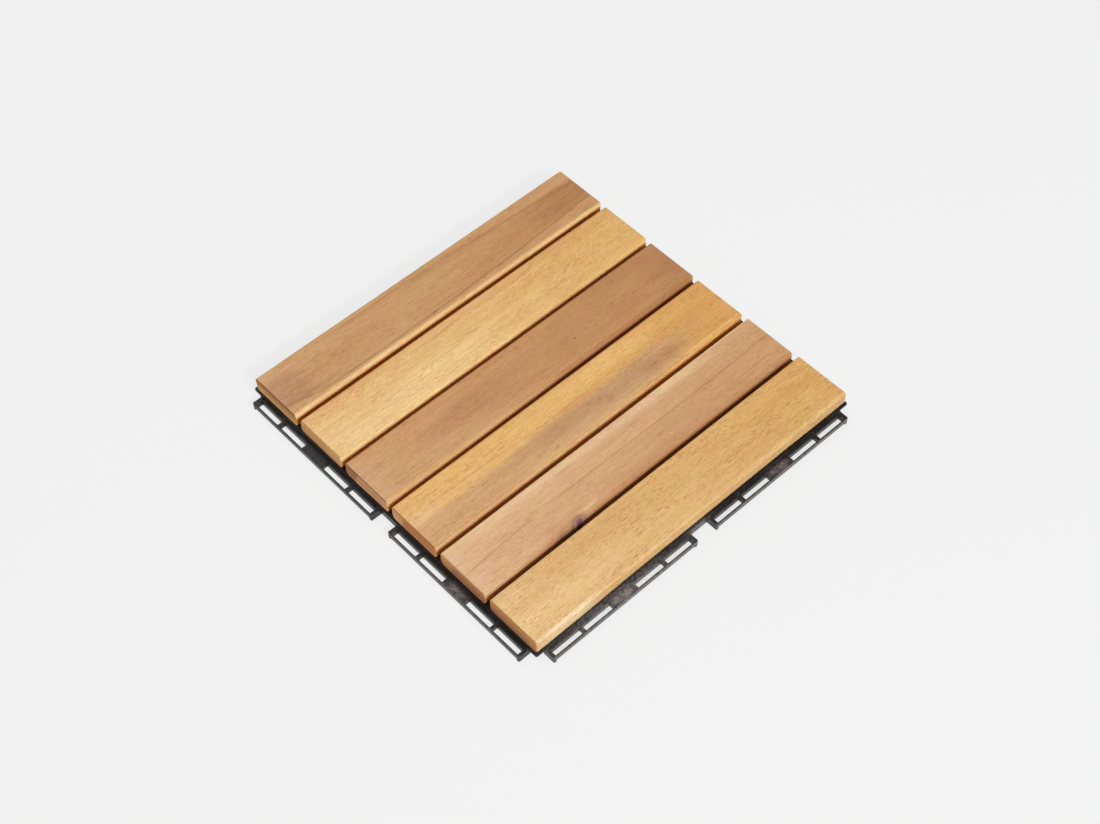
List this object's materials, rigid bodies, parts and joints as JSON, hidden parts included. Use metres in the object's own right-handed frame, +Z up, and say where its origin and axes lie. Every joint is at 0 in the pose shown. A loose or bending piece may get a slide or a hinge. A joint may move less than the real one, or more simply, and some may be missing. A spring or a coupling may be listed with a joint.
{
  "type": "interlocking deck tile",
  "caption": "Square floor tile of timber slats on a moulded plastic lattice base, with loop flanges on two sides and split pegs under the other two, to join tile to tile.",
  "frame": {"origin": "on the ground plane, under the middle of the square module that laid tiles repeat by; the middle foot stands there", "axes": "+X along the slats, away from the loop flange at the slat ends; +Y across the slats, away from the other loop flange; +Z up, out of the walking face"},
  "size_m": [0.3067, 0.3067, 0.02],
  "materials": {
    "moulded_base": "satin",
    "slat_1": "oiled",
    "slat_2": "oiled",
    "slat_3": "oiled",
    "slat_4": "oiled",
    "slat_5": "oiled",
    "slat_6": "oiled",
    "slat_screws": "zinc plated"
  },
  "bodies": {
    "root": {"moulded_base": "moulded_base", "slat_1": "slat_1", "slat_2": "slat_2", "slat_3": "slat_3", "slat_4": "slat_4", "slat_5": "slat_5", "slat_6": "slat_6", "slat_screws": "slat_screws"}
  },
  "joints": []
}
